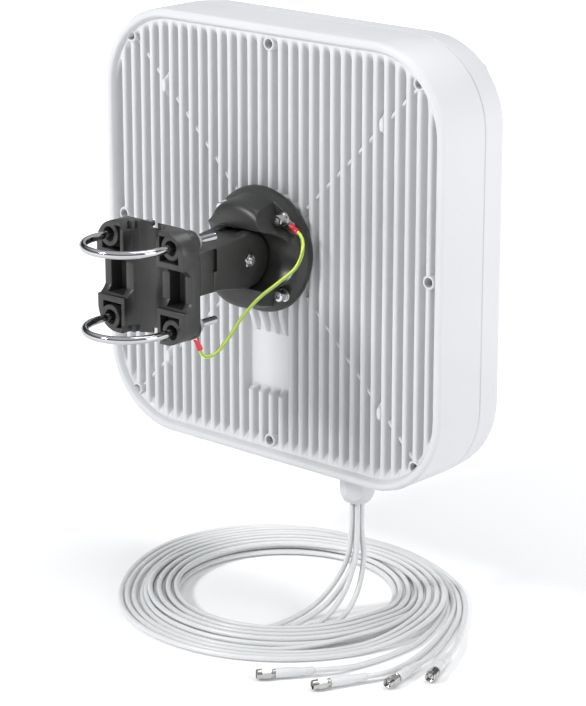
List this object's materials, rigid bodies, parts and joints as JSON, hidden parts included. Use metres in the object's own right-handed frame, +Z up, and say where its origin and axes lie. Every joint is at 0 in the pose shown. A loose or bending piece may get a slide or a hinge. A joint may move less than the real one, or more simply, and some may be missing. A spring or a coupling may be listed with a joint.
{
  "type": "panel antenna",
  "caption": "Flat square panel antenna with a ribbed back, a tilting pole bracket with U-bolts, an earth wire and coiled coaxial leads with threaded plugs.",
  "frame": {"origin": "on the axis of a 50 mm mast held in the saddle, midway between the two U-bolts", "axes": "+Z up along the mast, -Y is the way that the radome faces, +Y is the mast side, +X is the tilt axis"},
  "size_m": [0.3787, 0.3385, 0.4689],
  "materials": {
    "white_plastic": "fine-textured light grey white",
    "seal_rubber": "soft black",
    "radiator_metal": "plain rolled sheet",
    "circuit_board": "solder mask",
    "stainless_steel": "bright drawn",
    "dark_plastic": "moulded charcoal, light spark texture",
    "crimp_lug": "red insulated sleeve on a tinned ring",
    "earth_wire": "green and yellow striped insulation",
    "cable_jacket": "smooth off-white jacket",
    "heat_shrink": "smooth white sleeve",
    "plug_metal": "bright nickel plate"
  },
  "bodies": {
    "bracket": {"arm": "dark_plastic", "saddle": "dark_plastic", "tilt_bolt": "stainless_steel", "tilt_nut": "stainless_steel", "ubolt_nut_left_upper": "stainless_steel", "ubolt_nut_right_upper": "stainless_steel", "ubolt_nut_right_lower": "stainless_steel", "ubolt_nut_left_lower": "stainless_steel", "earth_lug_lower": "crimp_lug", "cable_coil": "cable_jacket", "cable_tail_1": "cable_jacket", "cable_tail_2": "cable_jacket", "cable_tail_3": "cable_jacket", "cable_tail_4": "cable_jacket", "heat_shrink_1": "heat_shrink", "heat_shrink_2": "heat_shrink", "heat_shrink_3": "heat_shrink", "heat_shrink_4": "heat_shrink", "sma_body_1": "plug_metal", "sma_body_2": "plug_metal", "sma_body_3": "plug_metal", "sma_body_4": "plug_metal"},
    "panel": {"back_shell": "white_plastic", "radome": "white_plastic", "gasket": "seal_rubber", "reflector_plate": "radiator_metal", "feed_board": "circuit_board", "patch_1": "radiator_metal", "patch_2": "radiator_metal", "patch_3": "radiator_metal", "patch_4": "radiator_metal", "cover_screw_1": "stainless_steel", "cover_screw_2": "stainless_steel", "cover_screw_3": "stainless_steel", "cover_screw_4": "stainless_steel", "cover_screw_5": "stainless_steel", "cover_screw_6": "stainless_steel", "cover_screw_7": "stainless_steel", "cover_screw_8": "stainless_steel", "flange_screw_1": "stainless_steel", "flange_screw_2": "stainless_steel", "flange_screw_3": "stainless_steel", "flange_screw_4": "stainless_steel", "gland_body": "white_plastic", "gland_cap": "white_plastic", "gland_insert": "seal_rubber", "gland_locknut": "white_plastic", "flange_fork": "dark_plastic", "earth_lug_upper": "crimp_lug", "earth_wire": "earth_wire", "cable_drop_1": "cable_jacket", "cable_drop_2": "cable_jacket", "cable_drop_3": "cable_jacket", "cable_drop_4": "cable_jacket"},
    "ubolt_upper": {"ubolt_upper": "stainless_steel"},
    "ubolt_lower": {"ubolt_lower": "stainless_steel"},
    "sma_nut_1": {"sma_nut_1": "plug_metal"},
    "sma_nut_2": {"sma_nut_2": "plug_metal"},
    "sma_nut_3": {"sma_nut_3": "plug_metal"},
    "sma_nut_4": {"sma_nut_4": "plug_metal"}
  },
  "joints": [
    {"name": "panel_tilt", "type": "hinge", "parent": "bracket", "child": "panel", "pos_m": [0, -0.118, 0], "axis": [1, 0, 0], "range_deg": [-25, 25], "deforming": ["cable_drop_1", "cable_drop_2", "cable_drop_3", "cable_drop_4", "earth_wire"]},
    {"name": "ubolt_upper_slide", "type": "slide", "parent": "bracket", "child": "ubolt_upper", "axis": [0, 1, 0], "range_m": [-0.013, 0.015]},
    {"name": "ubolt_lower_slide", "type": "slide", "parent": "bracket", "child": "ubolt_lower", "axis": [0, 1, 0], "range_m": [-0.013, 0.015]},
    {"name": "sma_nut_1_spin", "type": "hinge", "parent": "bracket", "child": "sma_nut_1", "pos_m": [-0.0998, -0.0336, -0.2898], "axis": [0.6309, 0.7759, 0], "continuous": true},
    {"name": "sma_nut_2_spin", "type": "hinge", "parent": "bracket", "child": "sma_nut_2", "pos_m": [-0.1443, -0.0465, -0.2898], "axis": [0.454, 0.891, 0], "continuous": true},
    {"name": "sma_nut_3_spin", "type": "hinge", "parent": "bracket", "child": "sma_nut_3", "pos_m": [-0.1846, -0.0853, -0.2898], "axis": [-0.126, 0.992, 0], "continuous": true},
    {"name": "sma_nut_4_spin", "type": "hinge", "parent": "bracket", "child": "sma_nut_4", "pos_m": [-0.2012, -0.1149, -0.2898], "axis": [-0.3431, 0.9393, 0], "continuous": true}
  ]
}
